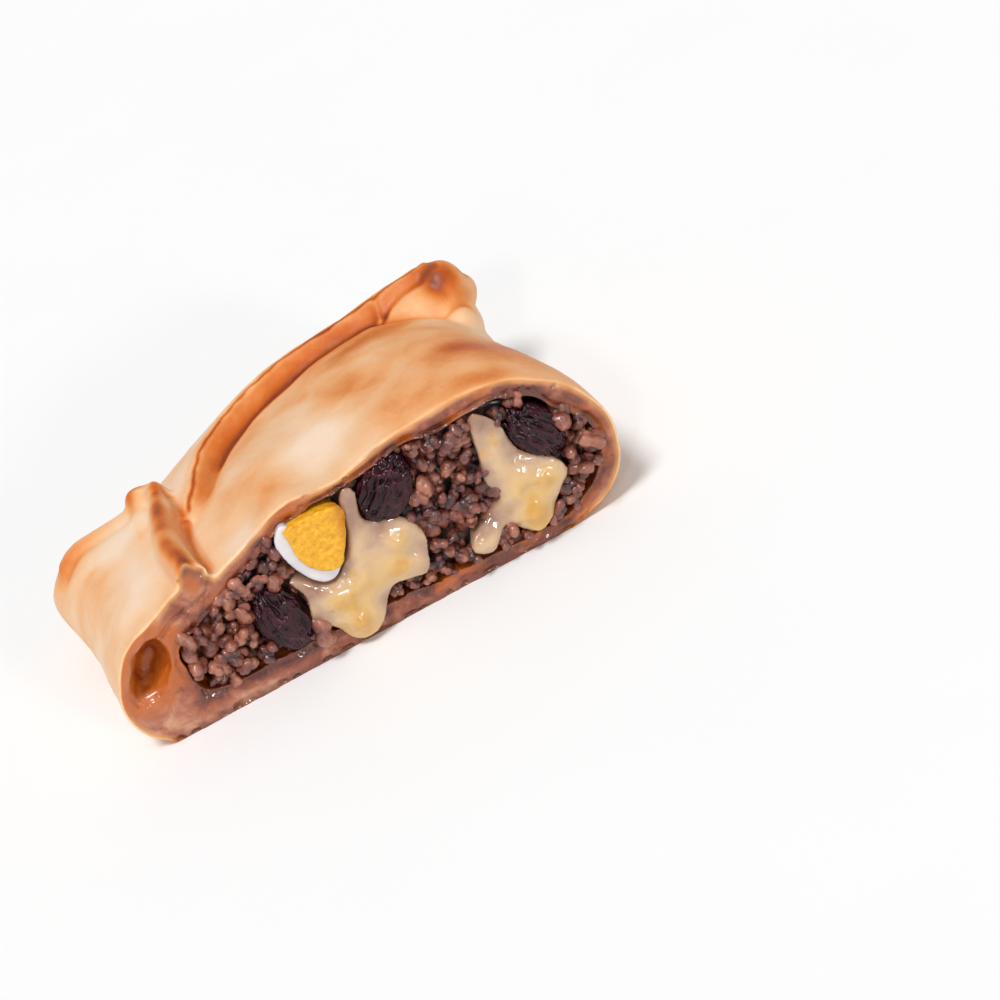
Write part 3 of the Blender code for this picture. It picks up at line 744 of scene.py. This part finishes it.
mouth = through(OPENING, 80, closed=True)
covers = [through(shape, 40, closed=True) for shape in (CHEESE_LEFT, CHEESE_RIGHT, EGG_YOLK, EGG_WHITE)]
for centre, half_length, half_width, turn, _ in RAISINS.values():
    angle = np.linspace(0, math.tau, 24, endpoint=False)
    c, s = math.cos(math.radians(turn)), math.sin(math.radians(turn))
    u, v = half_length * np.cos(angle), half_width * np.sin(angle)
    covers.append(np.stack([centre[0] + c * u - s * v, centre[1] + s * u + c * v], axis=1))


def scatter(count, spacing, sizes, depths, wall_gap, cover_gap):
    """Places and sizes for grains of mince that keep off the walls and what covers them."""
    tries = count * 40
    spots = np.array([(chance.uniform(-39, 50), 0.0, chance.uniform(3, 34)) for _ in range(tries)])
    radii = np.array([chance.uniform(*sizes) for _ in range(tries)])
    free = outline_gap(spots, mouth) < -wall_gap * radii
    for outline in covers:
        free &= outline_gap(spots, outline) > cover_gap
    kept = []
    for (x, _, z), size in zip(spots[free], radii[free]):
        if all((x - a) ** 2 + (z - b) ** 2 > (spacing * (size + r)) ** 2 for a, _, b, r in kept):
            kept.append((x, chance.uniform(*depths), z, size))
        if len(kept) == count:
            break
    return kept


def meat_finish(name):
    """Cooked meat: purplish brown with a film of juice, painted paler where it stands proud and darker
    in its hollows as light and shade.
    """
    material, shader, where = finish_of(name, 0.40, Coat_Weight=0.6, Coat_Roughness=0.10,
                                        Subsurface_Weight=0.08, Subsurface_Scale=0.003)
    shader.inputs["Subsurface Radius"].default_value = (1.0, 0.3, 0.2)
    tone = where.node("ShaderNodeAttribute", {"attribute_name": "tone"}, None, 2)
    proud = where.node("ShaderNodeAttribute", {"attribute_name": "proud"}, None, 2)
    mottled = where.noise(1.6, 4, 0.6, 0.8)
    fibres = where.noise(0.5, 3, 0.6, 1.5)
    # Painted light and shade: the proud term makes lobe tips paler and hollows darker.
    level = tone * 0.45 + mottled * 0.5 + (proud - 0.5) * 0.6 + (fibres - 0.5) * 0.15
    meat = level.ramp(
        (0.18, (0.014, 0.002, 0.003)), (0.40, (0.060, 0.012, 0.010)), (0.60, (0.135, 0.033, 0.025)),
        (0.78, (0.24, 0.072, 0.046)), (0.97, (0.40, 0.15, 0.09)))
    juice = where.noise(7, 2, 0.5).step(0.52, 0.70)
    meat = meat.mix(juice * 0.35, (0.36, 0.09, 0.02, 1))
    wire(shader, Base_Color=meat, Normal=fibres.bump(0.12, 0.7, mottled.bump(0.25, 0.6)))
    return material


meat = meat_finish("meat_finish")
for name, count, spacing, sizes, depths, wall_gap, cover_gap, fineness in (
        ("mince_front", GRAINS_FRONT, 0.60, (1.8, 3.0), (-0.4, 1.8), 0.45, 0.8, 4),
        ("mince_behind", GRAINS_BEHIND, 0.58, (1.9, 2.8), (2.6, 4.4), 0.30, -4.0, 3)):
    heap = bmesh.new()
    tones, prouds = [], []
    for *centre, size in scatter(count, spacing, sizes, depths, wall_gap, cover_gap):
        verts = grain(heap, centre, size, fineness)
        tone = chance.uniform(0.1, 1.0)
        middle = Vector(placed(centre))
        for vert in verts:
            tones.append(tone)
            prouds.append((vert.co - middle).length / (size * MM))
    grains = piece_of(name, heap)
    paint_on(grains, "tone", tones)
    paint_on(grains, "proud", prouds)
    dress(grains, meat, "beef", "beef_filling")


def core_ring(d):
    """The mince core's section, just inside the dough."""
    ring = hollow_ring(d + 1.5)
    middle = np.array([2.0, d + 1.5, 17.0])
    ring = middle + (ring - middle) * 0.955
    ring[:, 1] = d
    return ring


packed = bmesh.new()
rolled(packed, [core_ring(d) for d in [2.6, 3.4, 5, 8, 12, 18, 25, 32, 38, 44, 48, 50.5]])
core = piece_of("mince_core", packed)
knead(core, 0.9, 2)
points, normals = corners_of(core)
lumpy = 0.9 * grain_of(points, 3.4, 41) + 0.5 * grain_of(points, 1.6, 42)
reshape(core, points + normals * (np.minimum(lumpy, 0.3) * ease(20, 6, points[:, 1]) - 0.2)[:, None])
thin_out(core, 40000)
# Painted shade: the core's lowest tone and proud values colour it near-black, as the shade in the gaps
# between the grains.
paint_on(core, "tone", np.full(len(core.data.vertices), 0.0))
paint_on(core, "proud", np.full(len(core.data.vertices), 0.1))
dress(core, meat, "beef", "beef_filling")

# Raisins.  Dark maroon, plump from the juice, with deep winding wrinkles and a wet skin.  Painted shade
# makes the skin near-black deep in the wrinkles and lighter maroon on their ridges.
RAISIN_THICKNESS = 4.3
RAISIN_DEPTH = 1.3


def wrinkle(place, seed):
    """How deep the skin folds at a place on a raisin of radius 1."""
    warp = Vector((noise.noise(place * 1.7 + seed), noise.noise(place * 1.7 - seed), 0)) * 0.55
    long = Vector((place.x * 1.5, place.y * 3.4, place.z * 3.4)) + warp
    folds = 1 - abs(noise.noise(long * 1.15 + seed)) * 2.6
    small = 1 - abs(noise.noise(long * 2.5 + seed * 2)) * 2.2
    return 0.100 * max(folds, -0.4) + 0.040 * max(small, -0.4)


raisin_skin, shader, where = finish_of("raisin_finish", 0.35, Coat_Weight=0.7, Coat_Roughness=0.05,
                                       Specular_IOR_Level=0.0)
fold = where.node("ShaderNodeAttribute", {"attribute_name": "fold"}, None, 2)
wine = where.noise(5, 3, 0.6, 0.5).step(0.45, 0.72)
# Painted shade: near-black deep in the wrinkles, lighter maroon on their ridges.
fold_shade = fold.ramp(
    (0.25, (0.003, 0.0005, 0.001)), (0.6, (0.012, 0.002, 0.004)), (1.0, (0.034, 0.005, 0.010)))
wire(shader, Base_Color=fold_shade.mix(wine * 0.45, (0.07, 0.003, 0.013, 1)),
     Normal=where.noise(0.9, 2, 0.5, 1.0).bump(0.12, 0.5))
for name, (centre, half_length, half_width, turn, seed) in RAISINS.items():
    berry = bmesh.new()
    bmesh.ops.create_icosphere(berry, subdivisions=6, radius=1.0)
    shift = Vector((seed * 11.3, seed * 5.1, seed * 2.7))
    folds = []
    for vert in berry.verts:
        depth = wrinkle(vert.co, shift)
        folds.append(min(max(depth * 9 + 0.2, 0), 1))
        vert.co *= 0.92 + depth + 0.05 * noise.noise(vert.co * 1.4 + shift)
    matrix = Matrix.Translation(placed((centre[0], RAISIN_DEPTH, centre[1]))) \
        @ Matrix.Rotation(-math.radians(turn), 4, "Y") \
        @ Matrix.Diagonal((half_length * MM, RAISIN_THICKNESS * MM, half_width * MM, 1.0))
    bmesh.ops.transform(berry, matrix=matrix, verts=berry.verts)
    raisin = piece_of(name + "_wrinkled", berry)
    paint_on(raisin, "fold", folds)
    dress(raisin, raisin_skin, "raisin", name)

# Hard-boiled egg.  A wedge cut from a boiled egg: crumbly yellow yolk with a ridge down it, held by a
# smooth crescent of white.  The yolk's face right of the ridge is painted a darker golden orange as
# shade.


def slab(name, outline, front, back, grain_size, rounds):
    """A soft lump with an outline's shape on the cut, running back into the filling."""
    edge = through(outline, 90, closed=True)
    middle = edge.mean(axis=0)
    rings = []
    for share in np.linspace(0, 1, 9):
        x, z = (middle + (edge - middle) * (1 - 0.30 * share)).T
        rings.append(np.stack([x, np.full_like(x, front + (back - front) * share), z], axis=1))
    bm = bmesh.new()
    rolled(bm, rings)
    obj = piece_of(name, bm)
    knead(obj, grain_size, rounds)
    return obj


YOLK_SPREAD = 1.05
YOLK_SHIFT = (-0.5, -0.4)
yolk_edge = np.array(EGG_YOLK, float)
yolk_edge = yolk_edge.mean(axis=0) + (yolk_edge - yolk_edge.mean(axis=0)) * YOLK_SPREAD
yolk_edge += YOLK_SHIFT
yolk = slab("egg_yolk_crumbly", yolk_edge, -2.5, 9, 0.30, 6)
points, normals = corners_of(yolk)
ridge = points[:, 0] + 1.9 - 0.16 * (points[:, 2] - 24)
facing = ease(-0.2, -0.7, normals[:, 1])
facet = 0.45 * np.maximum(ridge, 0) * facing
crumbs = 0.30 * grain_of(points, 1.1, 51) + 0.28 * grain_of(points, 2.6, 52)
crumbs -= 0.5 * ease(0.35, 0.55, grain_of(points, 1.6, 53))
points[:, 1] += facet
reshape(yolk, points + normals * (crumbs * 0.45)[:, None])
# Painted shade: the face right of the ridge is marked to be coloured a darker golden orange.
paint_on(yolk, "gold", ease(-1.4, 0.8, ridge))
yolk_finish, shader, where = finish_of("yolk_finish", 0.50, Subsurface_Weight=0.15,
                                       Subsurface_Scale=0.002, Coat_Weight=0.12)
shader.inputs["Subsurface Radius"].default_value = (1.0, 0.6, 0.1)
gold = where.node("ShaderNodeAttribute", {"attribute_name": "gold"}, None, 2)
crumbly = where.noise(1.0, 4, 0.65, 0.3)
tone = crumbly.ramp(
    (0.3, (0.64, 0.27, 0.004)), (0.5, (0.82, 0.40, 0.008)), (0.68, (0.90, 0.52, 0.035)))
# Painted shade: a darker golden orange mixed in on the face right of the ridge.
wire(shader, Base_Color=tone.mix(gold * 0.7, (0.64, 0.22, 0.004, 1)), Normal=crumbly.bump(0.15, 0.7))
dress(yolk, yolk_finish, "egg_yolk", "egg_yolk")

white = slab("egg_white_smooth", EGG_WHITE, -1.5, 10, 0.32, 10)
points, normals = corners_of(white)
reshape(white, points + normals * (0.12 * grain_of(points, 4, 55))[:, None])
white_finish, shader, where = finish_of("white_finish", 0.28, Subsurface_Weight=0.3,
                                        Subsurface_Scale=0.003, Coat_Weight=0.3)
shader.inputs["Subsurface Radius"].default_value = (1.0, 0.9, 0.85)
cloudy = where.noise(5, 3, 0.5)
wire(shader, Base_Color=cloudy.ramp((0.3, (0.62, 0.60, 0.66)), (0.7, (0.80, 0.75, 0.74))))
dress(white, white_finish, "egg_white", "egg_white")

# Melted cheese.  Two flows have run out of the filling over the cut and stopped in thick
# round drips: glossy and translucent, greyish where thin, creamy yellow where thick.


def melt(name, outline, front, bulges, seed, node):
    """One flow of cheese, with bulges given as place, radii and height."""
    flow = slab(name, outline, front, 8, 0.36, 14)
    points, normals = corners_of(flow)
    facing = ease(0.1, -0.6, normals[:, 1]) * ease(4, 0, points[:, 1])
    thick = np.zeros(len(points))
    for cx, cz, rx, rz, height in bulges:
        thick += height * np.exp(-((points[:, 0] - cx) / rx) ** 2 - ((points[:, 2] - cz) / rz) ** 2)
    lumps = 0.55 * grain_of(points, 3.4, seed) + 0.35 * grain_of(points, 7, seed + 1)
    thick += 0.5 * lumps
    points[:, 1] -= facing * (thick + lumps)
    reshape(flow, points)
    paint_on(flow, "thick", thick)
    dress(flow, cheese_finish, "cheese", node)
    return flow


cheese_finish, shader, where = finish_of("cheese_finish", 0.22, Subsurface_Weight=0.35,
                                         Subsurface_Scale=0.004, Coat_Weight=1.0, Coat_Roughness=0.04)
shader.inputs["Subsurface Radius"].default_value = (1.0, 0.75, 0.4)
thick = where.node("ShaderNodeAttribute", {"attribute_name": "thick"}, None, 2)
cloud = where.noise(6, 3, 0.5, 0.4)
body = (thick * 0.42 + (cloud - 0.5) * 0.6 + 0.16).ramp(
    (0.0, (0.22, 0.09, 0.055)), (0.22, (0.44, 0.26, 0.17)), (0.48, (0.65, 0.43, 0.24)),
    (0.75, (0.69, 0.44, 0.17)), (1.0, (0.64, 0.34, 0.07)))
butter = where.noise(4.2, 2, 0.5).step(0.60, 0.74)
wire(shader, Base_Color=body.mix(butter * 0.55, (0.62, 0.33, 0.04, 1)),
     Normal=where.noise(2.6, 2, 0.4, 0.6).bump(0.55, 0.6))
melt("cheese_left_melted", CHEESE_LEFT, -0.9, [
    (-5.6, 5.0, 3.6, 4.6, 2.3), (-3, 12, 6.0, 4.0, 1.4), (5.0, 12.5, 3.4, 3.6, 1.7),
    (7.5, 17.5, 3.0, 2.6, 1.1), (-9.5, 11.5, 3.4, 2.6, 0.9), (0.5, 20, 2.4, 5, 0.7)], 61, "cheese_left")
melt("cheese_right_melted", CHEESE_RIGHT, -0.9, [
    (33, 7.6, 4.0, 4.4, 2.3), (33.5, 14.5, 4.4, 3.6, 1.3), (30.5, 21, 2.6, 6, 0.9),
    (38.4, 13.5, 2.8, 2.8, 1.3), (22, 7, 3, 2.4, 0.8)], 65, "cheese_right")

# The studio.  A white floor, even white light from all round and from high up, two small
# low lights that make the wet parts glint, and a camera that looks down on the cut with the
# parcel tipped across the view.
VIEW_TARGET = placed((30.68, 34.0, -7.156))
VIEW_DISTANCE = 0.55
VIEW_AZIMUTH, VIEW_ELEVATION, VIEW_ROLL = (math.radians(a) for a in (-5.0, 31.0, 25.906))
back = Vector((math.sin(VIEW_AZIMUTH) * math.cos(VIEW_ELEVATION),
               -math.cos(VIEW_AZIMUTH) * math.cos(VIEW_ELEVATION), math.sin(VIEW_ELEVATION)))
level = (-back).cross(Vector((0, 0, 1))).normalized()
upright = level.cross(-back)
right = level * math.cos(VIEW_ROLL) - upright * math.sin(VIEW_ROLL)
up = level * math.sin(VIEW_ROLL) + upright * math.cos(VIEW_ROLL)
lens = bpy.data.cameras.new("camera")
lens.lens = 97.28
lens.sensor_width = 36
lens.clip_start = 0.01
camera = bpy.data.objects.new("camera", lens)
pose = Matrix((right, up, back)).transposed().to_4x4()
pose.translation = Vector(VIEW_TARGET) + back * VIEW_DISTANCE
camera.matrix_world = pose
bpy.context.scene.collection.objects.link(camera)
bpy.context.scene.camera = camera
bpy.context.scene.view_settings.view_transform = "Standard"


def sunlight(name, aim, spread, strength):
    """Even white light from a direction, soft over a spread in degrees."""
    lamp = bpy.data.lights.new(name, "SUN")
    lamp.angle = math.radians(spread)
    lamp.energy = strength
    holder = bpy.data.objects.new(name, lamp)
    holder.matrix_world = Vector(aim).to_track_quat("Z", "Y").to_matrix().to_4x4()
    bpy.context.scene.collection.objects.link(holder)


sunlight("key", (-0.25, -0.35, 0.95), 18, 2.0)
sunlight("sparkle", (0.35, -0.9, 0.25), 6, 0.55)
sunlight("glint", (-0.3, -0.8, 0.5), 5, 0.3)
world = bpy.data.worlds.new("studio")
world.use_nodes = True
sky = world.node_tree.nodes["Background"]
sky.inputs["Color"].default_value = (1, 1, 1, 1)
sky.inputs["Strength"].default_value = 0.42
bpy.context.scene.world = world

ground = bmesh.new()
bmesh.ops.create_grid(ground, x_segments=1, y_segments=1, size=3.0)
floor = piece_of("floor", ground)
floor_paint, shader, where = finish_of("floor_paint", 0.8)
wire(shader, Base_Color=where.noise(60, 2).ramp((0.0, (0.90, 0.90, 0.90)), (1.0, (0.92, 0.92, 0.92))))
floor.data.materials.append(floor_paint)
